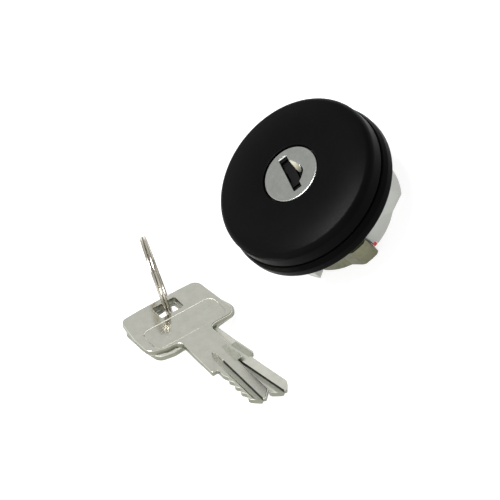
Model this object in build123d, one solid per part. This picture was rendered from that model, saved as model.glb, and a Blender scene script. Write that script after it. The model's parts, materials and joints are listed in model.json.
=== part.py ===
from build123d import *
import math
import os

# Keyed bayonet filler cap with two keys on a split ring.
# Row frame: origin at the centre of the filler-neck mouth (the plane the gasket
# seats on), +Z outwards along the cap axis, +X along the keyway in the lock face.
# All sizes in millimetres.

# ---------------------------------------------------------------- dimensions
Z_FACE = 14.5            # outer plane of the lock face
R_COVER = 32.9           # cover, widest radius
R_SKIRT = 34.0           # skirt ring, widest radius
R_COVER_HOLE = 11.75     # opening in the cover round the lock face
R_LOCK = 11.27           # lock face radius
WALL = 2.4               # moulded wall of the cover
DOME_R = 190.0           # crown radius of the cover
DOME_TOP = 14.80         # crown height on the axis if it had no opening
R_EDGE = 3.2             # rounding of the cover's rim
Z_COVER_LOW = 4.7        # lower edge of the cover
Z_SKIRT_TOP = 4.0        # shoulder of the skirt below the shadow groove
Z_SKIRT_LOW = -2.0
R_GROOVE = 31.9

R_SPIGOT = 22.1          # plug wall that enters the neck
R_PLUG_IN = 19.4
Z_PLUG_LOW = -22.6
Z_LUG_TOP = -12.5        # lugs of the plug start here
R_LUG = 25.5
R_EAR = 25.3             # bayonet ears
Z_EAR_TOP = -12.9
LEG_A0, LEG_A1 = -45.0, 14.8      # angular span of a bayonet leg
GAP_DEG = 1.5                      # axial gap between leg and plug wall
RED_A0, RED_A1 = 15.2, 19.2        # tabs of the vent cover

R_FLANGE = 27.0          # flange of the bayonet plate, trapped in the cap
Z_FL0, Z_FL1 = 5.2, 6.6

R_CORE = 7.5             # lock cylinder
Z_CORE_TOP, Z_CORE_LOW = 12.4, -8.4
R_BARREL = 9.8           # lock barrel, outside
FIT = 0.05               # running clearance on radius

BLADE_W, BLADE_T = 8.7, 2.4
WAFER_Z = (6.5, 3.7, 0.9, -1.9, -4.7)
WAFER_T = 1.15
WAFER_TRAVEL = 0.7

BOLT_Z0, BOLT_Z1 = -13.2, -10.9
BOLT_W = 3.6
BOLT_STROKE = 2.4
CAM_Z0, CAM_Z1 = -10.5, -8.6
R_CAM = 9.6
R_PIN = 1.0
R_PIN_PATH = 5.0         # pin radius with the bolts withdrawn
R_CARRIER = 15.0
R_DOG_IN, R_DOG_OUT, R_DOG_ROOT = 15.4, 19.35, 17.9
DOGS = 12

FLOOR = Z_PLUG_LOW       # surface that the cap and the keys stand on
KEY_T = 2.4


# ---------------------------------------------------------------- helpers
def cyl(r, z0, z1, x=0.0, y=0.0):
    return Pos(x, y, (z0 + z1) / 2) * Cylinder(r, z1 - z0)


def tube(r0, r1, z0, z1, x=0.0, y=0.0):
    return cyl(r1, z0, z1, x, y) - cyl(r0, z0 - 1, z1 + 1, x, y)


def box(x0, x1, y0, y1, z0, z1):
    return Pos((x0 + x1) / 2, (y0 + y1) / 2, (z0 + z1) / 2) * Box(x1 - x0, y1 - y0, z1 - z0)


def polar(r, deg):
    return (r * math.cos(math.radians(deg)), r * math.sin(math.radians(deg)))


def wedge(r0, r1, z0, z1, a0, a1):
    """Ring sector between two radii and two angles."""
    am = (a0 + a1) / 2
    p = [polar(r0, a0), polar(r1, a0), polar(r1, am), polar(r1, a1), polar(r0, a1), polar(r0, am)]
    f = make_face([Line(p[0], p[1]), ThreePointArc(p[1], p[2], p[3]),
                   Line(p[3], p[4]), ThreePointArc(p[4], p[5], p[0])])
    return Pos(0, 0, z0) * extrude(f, z1 - z0)


def turned(points):
    """Revolve a closed polygon of (r, z) points about Z."""
    return revolve(Plane.XZ * make_face(Polyline(*points, close=True)), Axis.Z, 360)


def prism(points, z0, z1):
    return Pos(0, 0, z0) * extrude(make_face(Polyline(*points, close=True)), z1 - z0)


def csk_screw(x, y, z_head, z_end, r, rh, hh, up):
    """Cylinder-head screw with a cross recess. up=True: head below, shank upwards."""
    if up:
        s = cyl(rh, z_head, z_head + hh, x, y) + cyl(r, z_head + hh, z_end, x, y)
        rec = box(x - rh * .55, x + rh * .55, y - .3, y + .3, z_head - 1, z_head + hh * .55) + \
            box(x - .3, x + .3, y - rh * .55, y + rh * .55, z_head - 1, z_head + hh * .55)
    else:
        s = cyl(rh, z_head - hh, z_head, x, y) + cyl(r, z_end, z_head - hh, x, y)
        rec = box(x - rh * .55, x + rh * .55, y - .3, y + .3, z_head - hh * .55, z_head + 1) + \
            box(x - .3, x + .3, y - rh * .55, y + rh * .55, z_head - hh * .55, z_head + 1)
    return s - rec


def spring_wire(r, wire, z0, z1, turns, x=0.0, y=0.0):
    """Closed-end look of a coil spring: a helix between two flat levels."""
    h = z1 - z0 - 2 * wire
    path = Helix(pitch=h / turns, height=h, radius=r)
    prof = Plane(path @ 0, z_dir=path % 0) * Circle(wire)
    return Pos(x, y, z0 + wire) * sweep(prof, path=path, is_frenet=True)


parts = {}


def put(name, shape):
    parts[name] = shape


# ---------------------------------------------------------------- cover
def dome_z(r):
    return DOME_TOP - r * r / (2 * DOME_R)


def cover_shell():
    ro = R_COVER
    corner = (ro, dome_z(ro))
    a = (R_COVER_HOLE, dome_z(R_COVER_HOLE))
    m = ((ro + R_COVER_HOLE) / 2, dome_z((ro + R_COVER_HOLE) / 2))
    ri = ro - WALL
    edges = [
        ThreePointArc(a, m, corner),
        Line(corner, (ro, Z_COVER_LOW)),
        Line((ro, Z_COVER_LOW), (ri, Z_COVER_LOW)),
        Line((ri, Z_COVER_LOW), (ri, 9.2)),
        Line((ri, 9.2), (ri - 2.2, 11.4)),
        Line((ri - 2.2, 11.4), (20.0, 11.8)),
        Line((20.0, 11.8), (R_COVER_HOLE, 11.8)),
        Line((R_COVER_HOLE, 11.8), a),
    ]
    f = Plane.XZ * make_face(edges)
    s = revolve(f, Axis.Z, 360)
    rim = [e for e in s.edges().filter_by(GeomType.CIRCLE)
           if abs(e.radius - ro) < 1e-3 and abs(e.center().Z - corner[1]) < 1e-2]
    s = fillet(rim, R_EDGE)
    low = [e for e in s.edges().filter_by(GeomType.CIRCLE)
           if abs(e.radius - ro) < 1e-3 and abs(e.center().Z - Z_COVER_LOW) < 1e-2]
    s = fillet(low, 0.3)
    hole = [e for e in s.edges().filter_by(GeomType.CIRCLE)
            if abs(e.radius - R_COVER_HOLE) < 1e-3 and e.center().Z > 13]
    s = fillet(hole, 0.25)
    return s


SCREW_A = (45, 135, 225, 315)        # skirt screws
HOUSE_A = (0, 120, 240)              # barrel flange screws
CAR_A = (30, 150, 210, 330)          # carrier screws

cover = cover_shell()
cover += tube(23.6, 25.6, 7.5, 11.9)                       # thrust rib over the washer
for a in SCREW_A:                                           # bosses for the skirt screws
    x, y = polar(29.3, a)
    cover += cyl(1.9, 4.75, 11.0, x, y)
for a in HOUSE_A:                                           # bosses for the barrel screws
    x, y = polar(14.6, a)
    cover += cyl(2.4, 10.7, 12.0, x, y)
for k in range(6):                                          # stiffening webs under the crown
    a = 30 + 60 * k
    web = Rot(0, 0, a) * box(26.0, 31.0, -0.6, 0.6, 7.6, 11.6)
    cover += web
for a in SCREW_A:
    x, y = polar(29.3, a)
    cover -= cyl(1.1, 4.0, 9.4, x, y)
for a in HOUSE_A:
    x, y = polar(14.6, a)
    cover -= cyl(1.1, 10.0, 13.3, x, y)
put("cover", cover)

# ---------------------------------------------------------------- skirt ring
sk = turned([(R_GROOVE - 1.2 - 4.4, 3.4), (31.0, 3.4), (31.0, 1.0), (31.4, Z_SKIRT_LOW),
             (R_SKIRT, Z_SKIRT_LOW), (R_SKIRT, 1.6), (33.2, Z_SKIRT_TOP), (R_GROOVE, Z_SKIRT_TOP),
             (R_GROOVE, 4.7), (R_GROOVE - 5.6, 4.7)])
e1 = [e for e in sk.edges().filter_by(GeomType.CIRCLE) if abs(e.radius - R_SKIRT) < 1e-3]
sk = fillet(e1, 0.9)
e2 = [e for e in sk.edges().filter_by(GeomType.CIRCLE) if abs(e.radius - 33.2) < 1e-3]
sk = fillet(e2, 0.4)
for a in SCREW_A:
    x, y = polar(29.3, a)
    sk -= cyl(1.4, 3.0, 5.0, x, y)
put("skirt_ring", sk)

g = None
for a in SCREW_A:
    x, y = polar(29.3, a)
    s = csk_screw(x, y, 2.1, 9.2, 1.05, 1.6, 1.28, True)
    g = s if g is None else g + s
put("skirt_screws", g)

# ---------------------------------------------------------------- lock barrel
barrel = cyl(R_BARREL, Z_CORE_LOW, 12.2) + cyl(17.4, 9.2, 10.7)
barrel -= cyl(R_CORE + FIT, Z_CORE_LOW - 1, 13.0)
for a in (0, 90, 180, 270):                                 # grooves that the wafers drop into
    barrel -= Rot(0, 0, a) * box(6.5, 8.9, -3.75, 3.75, WAFER_Z[-1] - 1.2, WAFER_Z[0] + 1.2)
for a in HOUSE_A:
    x, y = polar(14.6, a)
    barrel -= cyl(1.35, 8.0, 12.0, x, y)
# foot flange that carries the bolt carrier
barrel += tube(R_BARREL - 0.1, 13.6, Z_CORE_LOW, Z_CORE_LOW + 1.8)
for a in CAR_A:
    x, y = polar(11.9, a)
    barrel -= cyl(0.95, Z_CORE_LOW - 1, Z_CORE_LOW + 2.6, x, y)
put("lock_barrel", barrel)

g = None
for a in HOUSE_A:
    x, y = polar(14.6, a)
    s = csk_screw(x, y, 7.9, 13.1, 1.05, 2.0, 1.3, True)
    g = s if g is None else g + s
put("barrel_screws", g)

put("face_seal", tube(9.95, 11.7, 10.72, 11.78))

# ---------------------------------------------------------------- bolt carrier under the barrel
car = cyl(R_CARRIER, BOLT_Z0, Z_CORE_LOW)
car -= cyl(R_CAM + 0.3, BOLT_Z1 + FIT, Z_CORE_LOW + 1)         # pocket for the cam
car -= box(-BOLT_W / 2 - FIT, BOLT_W / 2 + FIT, -20, 20, BOLT_Z0 - 1, BOLT_Z1 + FIT)
car -= cyl(3.4, BOLT_Z0 - 1, CAM_Z0)                            # room for the cam screw
for a in CAR_A:
    x, y = polar(11.9, a)
    car -= cyl(0.95, BOLT_Z0 - 1, Z_CORE_LOW + 1, x, y)
put("bolt_carrier", car)

plate = cyl(R_CARRIER, BOLT_Z0 - 0.95, BOLT_Z0 - 0.03)
for a in CAR_A:
    x, y = polar(11.9, a)
    plate -= cyl(0.95, BOLT_Z0 - 2, BOLT_Z0 + 1, x, y)
plate -= cyl(2.2, BOLT_Z0 - 2, BOLT_Z0 + 1)
put("carrier_plate", plate)

g = None
for a in CAR_A:
    x, y = polar(11.9, a)
    s = csk_screw(x, y, BOLT_Z0 - 1.95, Z_CORE_LOW + 2.4, 0.85, 1.7, 0.98, True)
    g = s if g is None else g + s
put("carrier_screws", g)

# ---------------------------------------------------------------- bolts
def bolt(sign):
    y0, y1 = 3.9, 14.6
    b = box(-BOLT_W / 2, BOLT_W / 2, y0, y1, BOLT_Z0 + FIT, BOLT_Z1)
    tip = [e for e in b.edges().filter_by(Axis.Z) if e.center().Y > y1 - 0.1]
    b = fillet(tip, 0.7)
    b += cyl(R_PIN, BOLT_Z1 - 0.2, CAM_Z1 - 0.25, 0, R_PIN_PATH)
    return b if sign > 0 else Rot(0, 0, 180) * b


put("drive_bolt_a", bolt(1))
put("drive_bolt_b", bolt(-1))

# ---------------------------------------------------------------- lock cylinder
core = cyl(R_CORE, Z_CORE_LOW, Z_CORE_TOP) + cyl(9.7, 12.3, 13.65)
core -= box(-7.4, 7.4, -1.8, 1.8, 12.3, 15.0)                  # mouth under the face slot
core -= box(-5.2, 5.2, -3.0, 2.1, 8.0, 15.0)                   # pocket of the dust shutter
core -= box(-4.6, 4.6, 1.9, 5.0, 11.3, 15.0)                   # room for the thumb dish
core -= Pos(0, -2.35, 12.7) * Rot(0, 90, 0) * Cylinder(0.33, 12.2)
core -= box(-BLADE_W / 2 - 0.25, BLADE_W / 2 + 0.25, -BLADE_T / 2 - 0.15, BLADE_T / 2 + 0.15, -8.2, 9.0)
for z in WAFER_Z:                                               # wafer slots right through
    core -= box(-9, 9, -3.35, 3.35, z - WAFER_T / 2 - 0.06, z + WAFER_T / 2 + 0.06)
core += box(-2.4, 2.4, -2.4, 2.4, CAM_Z0 + 0.1, Z_CORE_LOW)      # square tail for the cam
core -= cyl(1.0, CAM_Z0 - 1, Z_CORE_LOW - 0.1)
put("cylinder_core", core)

w = None
for i, z in enumerate(WAFER_Z):
    p = box(-9, 9, -3.28, 3.28, z - WAFER_T / 2, z + WAFER_T / 2) & cyl(R_CORE - 0.1, z - 2, z + 2)
    p -= box(-5.0, 4.5, -1.5, 1.5, z - 2, z + 2)
    w = p if w is None else w + p
put("wafers", w)

# lock face: drawn cap over the head of the cylinder, slot and thumb dish
face = cyl(R_LOCK, 12.6, Z_FACE) - cyl(R_LOCK - 0.75, 12.0, 13.7)
topedge = [e for e in face.edges().filter_by(GeomType.CIRCLE)
           if abs(e.radius - R_LOCK) < 1e-3 and e.center().Z > Z_FACE - 0.01]
face = fillet(topedge, 0.45)
face -= box(-7.4, 7.4, -1.8, 1.8, 12, 16)
dish = Pos(-1.0, 1.0, Z_FACE + 9.35) * Sphere(10.0)
face -= dish & box(-7.4, 6.0, 1.0, 6.0, 13, 16)
# through cut at the end of the dish
face -= (cyl(4.3, 12, 16, 0.3, 0.6) - cyl(4.1, 12, 16, -0.5, -0.1)) & box(0.6, 5.5, 1.6, 6.0, 12, 16)
put("lock_face", face)

cam = cyl(R_CAM, CAM_Z0, CAM_Z1 + 0.1)
cam -= box(-2.45, 2.45, -2.45, 2.45, CAM_Z0 - 1, CAM_Z1 + 1)


def scroll(a_start):
    half = R_PIN + 0.12
    n = 12
    inner, outer = [], []
    for i in range(n + 1):
        t = i / n
        ang = math.radians(a_start + 90 * t)
        r = R_PIN_PATH + BOLT_STROKE * t
        dr = BOLT_STROKE / math.radians(90)
        tx = dr * math.cos(ang) - r * math.sin(ang)
        ty = dr * math.sin(ang) + r * math.cos(ang)
        L = math.hypot(tx, ty)
        nx, ny = ty / L, -tx / L
        cx, cy = r * math.cos(ang), r * math.sin(ang)
        outer.append((cx + nx * half, cy + ny * half))
        inner.append((cx - nx * half, cy - ny * half))
    e = [Spline(*outer), Line(outer[-1], inner[-1]), Spline(*inner[::-1]), Line(inner[0], outer[0])]
    s = Pos(0, 0, CAM_Z0 - 1) * extrude(make_face(e), 4)
    for t in (0, 1):
        x, y = polar(R_PIN_PATH + BOLT_STROKE * t, a_start + 90 * t)
        s += cyl(half, CAM_Z0 - 1, CAM_Z0 + 3, x, y)
    return s


cam -= scroll(90)
cam -= scroll(270)
put("scroll_cam", cam)

put("cam_washer", tube(1.15, 3.0, CAM_Z0 - 0.42, CAM_Z0 - 0.02))
put("cam_screw", csk_screw(0, 0, CAM_Z0 - 1.5, Z_CORE_LOW - 0.3, 0.95, 2.0, 1.06, True))

# dust shutter: flap on a pin along the slot
PIV_Y, PIV_Z = -2.35, 12.7
flap = box(-4.9, 4.9, PIV_Y + 0.2, 1.95, 12.45, 12.95) + \
    (Pos(0, PIV_Y, PIV_Z) * Rot(0, 90, 0) * Cylinder(0.6, 9.8))
flap -= Pos(0, PIV_Y, PIV_Z) * Rot(0, 90, 0) * Cylinder(0.37, 12)
flap -= box(-2.3, 2.3, -3.2, -1.45, 11.5, 13.6)
put("dust_shutter", flap)
put("shutter_pin", Pos(0, PIV_Y, PIV_Z) * Rot(0, 90, 0) * Cylinder(0.32, 12.1))
coil = spring_wire(0.48, 0.1, -2.0, 2.0, 8)
put("shutter_spring", Pos(0, PIV_Y, PIV_Z) * Rot(0, 90, 0) * coil)

# ---------------------------------------------------------------- bayonet plate
bay = tube(R_PLUG_IN + 0.3, R_FLANGE, Z_FL0, Z_FL1)
for k in (0, 180):
    bay += wedge(20.7, R_SPIGOT, Z_PLUG_LOW + 0.0, Z_FL1, LEG_A0 + k, LEG_A1 + k)
    # ear at the foot of the leg, its leading flank sloped outwards
    p = [polar(21.85, -14.0 + k), polar(R_SPIGOT - 0.05, -14.0 + k), polar(R_EAR - 0.5, -3.2 + k), polar(R_EAR, -0.5 + k),
         polar(R_EAR, 6.0 + k), polar(R_EAR, 11.5 + k), polar(R_EAR - 0.7, LEG_A1 - 0.6 + k),
         polar(R_SPIGOT - 0.05, LEG_A1 - 0.02 + k), polar(21.85, LEG_A1 - 0.02 + k)]
    ear = prism(p, Z_PLUG_LOW, Z_EAR_TOP)
    bay += ear
for a in (60, 120, 240, 300):
    x, y = polar(20.9, a)
    bay -= cyl(0.55, Z_FL0 - 1, Z_FL1 + 1, x, y)
    bay -= cyl(1.2, Z_FL0 + 0.7, Z_FL1 + 1, x, y)
put("bayonet_plate", bay)

# ---------------------------------------------------------------- plug body
plug = cyl(R_SPIGOT, Z_PLUG_LOW, Z_FL0 - 0.02)
plug -= cyl(R_PLUG_IN, -12.7, Z_FL0 + 1)
plug -= cyl(17.4, -20.0, -12.0)
for k in (0, 180):
    a0, a1 = LEG_A1 + GAP_DEG + k, LEG_A0 + 180 - GAP_DEG + k      # white sector
    # lug with a sloping leading face
    lug = wedge(21.5, R_LUG, Z_PLUG_LOW, Z_LUG_TOP, 30 + k, a1 - 0.0)
    P1 = Vector(*polar(R_SPIGOT, 41.4), -17.0)
    P2 = Vector(*polar(R_SPIGOT, 53.7), -22.6)
    P3 = Vector(*polar(R_LUG, 70.0), -22.6)
    n = (P2 - P1).cross(P3 - P1).normalized()
    if n.dot(Vector(*polar(23, 100), -20) - P1) > 0:
        n = n * -1
    pl = Plane(origin=P1, z_dir=n)
    cutter = pl * (Pos(0, 0, 25) * Box(120, 120, 50))
    if k:
        cutter = Rot(0, 0, 180) * cutter
    lug = lug - cutter
    plug += lug
for k in (0, 180):
    # recess for the bayonet leg
    plug -= wedge(20.6, 27.0, Z_PLUG_LOW - 1, Z_FL0 + 1, LEG_A0 - GAP_DEG + k, LEG_A1 + GAP_DEG + k)
    # notch for the vent cover tab
    plug -= wedge(17.0, 24.0, Z_PLUG_LOW - 1, Z_PLUG_LOW + 2.1, LEG_A1 + k, RED_A1 + 0.4 + k)
plug -= cyl(17.0, Z_PLUG_LOW - 1, Z_PLUG_LOW + 1.45)                 # seat of the vent cover
for a in (60, 120, 240, 300):
    x, y = polar(20.9, a)
    plug -= cyl(0.5, -4.0, Z_FL0 + 1, x, y)
plug -= cyl(2.6, -23, -19)                                           # vent hole
put("plug_body", plug)

# seal washer between plug flange and cap
put("slip_washer", tube(20.2, 26.6, 6.65, 7.2))

# ---------------------------------------------------------------- plug screws
g = None
for a in (60, 120, 240, 300):
    x, y = polar(20.9, a)
    s = cyl(0.48, -3.5, 6.0, x, y) + cyl(1.12, 5.92, 6.55, x, y)
    g = s if g is None else g + s
put("plate_rivets", g)

# ---------------------------------------------------------------- dog ring
dog = tube(R_DOG_IN, R_DOG_OUT, -12.65, -10.2)
for i in range(DOGS):
    dog -= Rot(0, 0, i * 360 / DOGS) * box(-BOLT_W / 2 - 0.3, BOLT_W / 2 + 0.3, 14, R_DOG_ROOT, -15, -8)
DOG_LOW = -12.65
for a in (15, 135, 255):
    x, y = polar(18.45, a)
    dog -= cyl(0.75, -14, -9, x, y)
put("dog_ring", dog)
g = None
for a in (15, 135, 255):
    x, y = polar(18.45, a)
    s = cyl(0.65, -17.0, -10.15, x, y) + cyl(0.88, -10.18, -9.4, x, y)
    g = s if g is None else g + s
put("dog_screws", g)
for a in (15, 135, 255):
    x, y = polar(18.45, a)
    parts["plug_body"] = parts["plug_body"] - cyl(0.7, -17.4, -12.0, x, y)

# ---------------------------------------------------------------- vent in the floor of the plug
red = cyl(16.9, Z_PLUG_LOW, Z_PLUG_LOW + 1.3)
for k in (0, 180):
    red += wedge(16.0, 21.95, Z_PLUG_LOW, Z_PLUG_LOW + 1.3, RED_A0 + k, RED_A1 + k)
    red += wedge(17.1, 21.95, Z_PLUG_LOW, Z_PLUG_LOW + 1.95, RED_A0 + k, RED_A1 + k)
for i in range(6):
    a = 30 + 60 * i
    red -= Rot(0, 0, a) * box(6.0, 11.0, -1.0, 1.0, Z_PLUG_LOW - 1, Z_PLUG_LOW + 0.7)
red -= cyl(1.6, Z_PLUG_LOW - 1, Z_PLUG_LOW + 3)
put("vent_cover", red)

FL = -20.0                                              # inner floor of the plug
put("vent_seat", turned([(2.1, FL + 0.02), (4.8, FL + 0.02), (4.8, FL + 0.7), (3.4, FL + 1.1), (2.1, FL + 1.1)]))
pop = cyl(3.5, FL + 1.15, FL + 2.0) + cyl(1.1, FL + 1.5, FL + 4.9) + cyl(1.5, FL - 0.9, FL + 1.3)
put("vent_poppet", pop)
cage = tube(6.3, 7.2, FL + 0.02, FL + 5.4) + cyl(6.6, FL + 4.8, FL + 5.4)
cage -= cyl(1.3, FL, FL + 7)
for i in range(4):
    cage -= Rot(0, 0, 45 + 90 * i) * box(5.0, 9.0, -2.2, 2.2, FL + 1.2, FL + 4.0)
put("vent_cage", cage)
put("vent_spring", spring_wire(2.2, 0.2, FL + 2.02, FL + 4.78, 3.5))

# ---------------------------------------------------------------- seal under the cap
put("gasket", turned([(22.5, 0.0), (25.9, 0.0), (26.1, 0.25), (26.1, 1.35), (25.9, 1.6), (22.5, 1.6)]))
put("seal_carrier", tube(22.45, 26.05, 1.63, 2.38))
put("seal_spring", spring_wire(24.2, 0.38, 2.42, 5.16, 2.0))

# ---------------------------------------------------------------- keys on a split ring
TILT = 3.45              # bow end stands higher than the tips
ROLL = -31.0            # the keys lean over on one front corner of the bow
KEY_DIR = 19.9           # row angle of the middle of the fan
FAN = 4.3                # each key stands this far from the middle
PIVOT = (-2.8, -74.9)
KEY_LEN, PIV_S = 70.0, 5.94
K = KEY_LEN / 66.0         # the outline below is drawn for a 66 mm key
R_RING, R_WIRE = 16.0, 0.6
RING_H = -5.4            # row angle of the ring's level diameter
RING_LEAN = 21.15        # lean of the ring's plane from upright

# key cuts along the -t edge, tip first
CUTS = ((66.0, -0.8), (64.6, -2.3), (63.2, -3.55), (62.2, -3.75), (61.2, -3.2), (60.2, -3.0), (59.4, -3.35), (58.6, -3.9),
        (57.8, -3.9), (56.8, -3.1), (56.0, -3.1), (55.0, -3.85), (54.2, -3.95), (53.2, -3.3), (52.4, -3.2), (51.4, -3.75),
        (50.6, -4.0), (49.6, -3.45), (48.8, -3.4), (47.8, -3.9), (47.0, -4.1), (44.6, -4.1), (43.6, -4.1))


def key_outline():
    b = 4.1
    pts = [(0.0, -15.9), (0.0, 15.9), (23.0, 17.8), (23.0, 6.3), (43.6, 6.3), (43.6, b),
           (63.0, b), (66.0, 1.2)] + list(CUTS) + [(43.6, -6.3), (23.0, -6.3), (23.0, -17.8)]
    return [(x * K - PIV_S, y * K) for x, y in pts]


def make_key():
    f = make_face(Polyline(*key_outline(), close=True))

    def near(x, y):
        return f.vertices().sort_by_distance((x * K - PIV_S, y * K, 0))[0]
    f = fillet([near(0, -15.9), near(0, 15.9)], 3.2)
    f = fillet([near(23, 17.8), near(23, -17.8)], 3.4)
    f = fillet([near(23, 6.3), near(23, -6.3)], 2.6)
    f = fillet([near(43.6, 6.3), near(43.6, -6.3)], 0.7)
    k = extrude(f, KEY_T)
    top = [e for e in k.edges() if abs(e.center().Z - KEY_T) < 1e-6 and e.center().X < 22 - PIV_S]
    bot = [e for e in k.edges() if abs(e.center().Z) < 1e-6 and e.center().X < 22 - PIV_S]
    try:
        k = fillet(top + bot, 0.35)
    except Exception:
        pass
    # window for the ring
    win = extrude(RectangleRounded(6.6, 10.0, 0.8), 6)
    k -= Pos(5.6 * K - PIV_S, 0, -2) * win
    # shallow panel across the bow, on both faces
    pan = extrude(RectangleRounded(11.9, 31.8, 3.2), 0.25)
    k -= Pos(16.4 * K - PIV_S, 0, KEY_T - 0.12) * pan
    k -= Pos(16.4 * K - PIV_S, 0, -0.13) * pan
    # milled channels along the blade, the back ones turned over
    for up in (1, -1):
        z0, z1 = (KEY_T - 0.75, KEY_T + 1) if up > 0 else (-1, 0.75)
        k -= box(38.5 * K - PIV_S, 80, min(-2.6 * up, 0), max(-2.6 * up, 0), z0, z1)
        z0, z1 = (KEY_T - 0.55, KEY_T + 1) if up > 0 else (-1, 0.55)
        k -= box(35.5 * K - PIV_S, 80, min(2.3 * up, 3.3 * up), max(2.3 * up, 3.3 * up), z0, z1)
    return k


G0 = Location((0, 0, 0), (0, 0, KEY_DIR)) * Location((0, 0, 0), (0, TILT, 0)) * Location((0, 0, 0), (ROLL, 0, 0))
key = make_key()
low = (G0 * Location((0, 0, 0), (0, 0, FAN)) * key).bounding_box().min.Z
PIVOT_Z = round(FLOOR - low + 0.02, 4)
G = Location((PIVOT[0], PIVOT[1], PIVOT_Z)) * G0
AX = (G * Location((0, 0, 1))).position - G.position      # fan axis, normal to the keys
put("key_2", G * Location((0, 0, 0), (0, 0, FAN)) * key)
put("key_1", G * Location((0, 0, KEY_T + 0.1)) * Location((0, 0, 0), (0, 0, -FAN)) * key)

# ring: two coils lying against each other, in a leaning plane
hx, hy = math.cos(math.radians(RING_H)), math.sin(math.radians(RING_H))
lean = math.radians(RING_LEAN)
H = Vector(hx, hy, 0)
V = Vector(-hy * math.sin(lean), hx * math.sin(lean), math.cos(lean))
N = H.cross(V)
zc = FLOOR + R_RING * math.cos(lean) + R_WIRE + (R_WIRE + 0.01) * math.sin(lean) + 0.03
MID = G.position + AX * (KEY_T + 0.05)
zmid = MID.Z
sth = (zmid - zc) / (R_RING * math.cos(lean))
cth = math.sqrt(1 - sth * sth)
shift = 0.7
P = MID + H * shift
C = P - H * (R_RING * cth) - V * (R_RING * sth)
pl = Plane(origin=C, x_dir=H, z_dir=N)
ringpair = None
for o in (-R_WIRE - 0.01, R_WIRE + 0.01):
    t = pl * (Pos(0, 0, o) * Torus(R_RING, R_WIRE + 0.014))
    ringpair = t if ringpair is None else ringpair + t
put("split_ring", ringpair)
print("ring centre", C, "normal", N, "pivot z", PIVOT_Z)
print("key axis", AX)

# ---------------------------------------------------------------- write
os.makedirs("parts", exist_ok=True)
for name, shape in parts.items():
    export_step(shape, f"parts/{name}.step")
print(len(parts), "nodes")
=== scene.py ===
import json
import math

import bmesh
import bpy
import numpy as np
from mathutils import Matrix, Vector
from mathutils.geometry import delaunay_2d_cdt


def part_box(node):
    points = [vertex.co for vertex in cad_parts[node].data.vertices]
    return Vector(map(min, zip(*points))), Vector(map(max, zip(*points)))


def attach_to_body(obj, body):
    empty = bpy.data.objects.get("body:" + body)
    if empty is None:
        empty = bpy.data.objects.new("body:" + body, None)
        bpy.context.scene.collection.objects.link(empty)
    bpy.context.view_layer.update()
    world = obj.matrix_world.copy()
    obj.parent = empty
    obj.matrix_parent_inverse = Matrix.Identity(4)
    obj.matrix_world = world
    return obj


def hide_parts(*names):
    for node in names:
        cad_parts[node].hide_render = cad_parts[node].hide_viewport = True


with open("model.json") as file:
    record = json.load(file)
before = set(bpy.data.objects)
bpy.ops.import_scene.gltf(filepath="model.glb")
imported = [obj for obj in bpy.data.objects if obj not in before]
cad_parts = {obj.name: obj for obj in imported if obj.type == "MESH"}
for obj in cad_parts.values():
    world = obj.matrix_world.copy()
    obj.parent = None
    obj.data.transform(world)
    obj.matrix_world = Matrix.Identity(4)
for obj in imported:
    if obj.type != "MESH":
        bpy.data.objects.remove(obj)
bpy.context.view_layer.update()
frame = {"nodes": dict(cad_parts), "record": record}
NODES = frame["nodes"]
MM = 0.001

# ------------------------------------------------------------------ sizes (mm)
Z_FACE = 14.5
R_COVER, R_SKIRT, R_HOLE, R_LOCK = 32.9, 34.0, 11.75, 11.27
DOME_TOP = 14.80
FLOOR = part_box("plug_body")[0].z / MM


def dome_z(r):
    return DOME_TOP - 2.85 * (max(0.0, r - 12.0) / 20.9) ** 2.2


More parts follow.
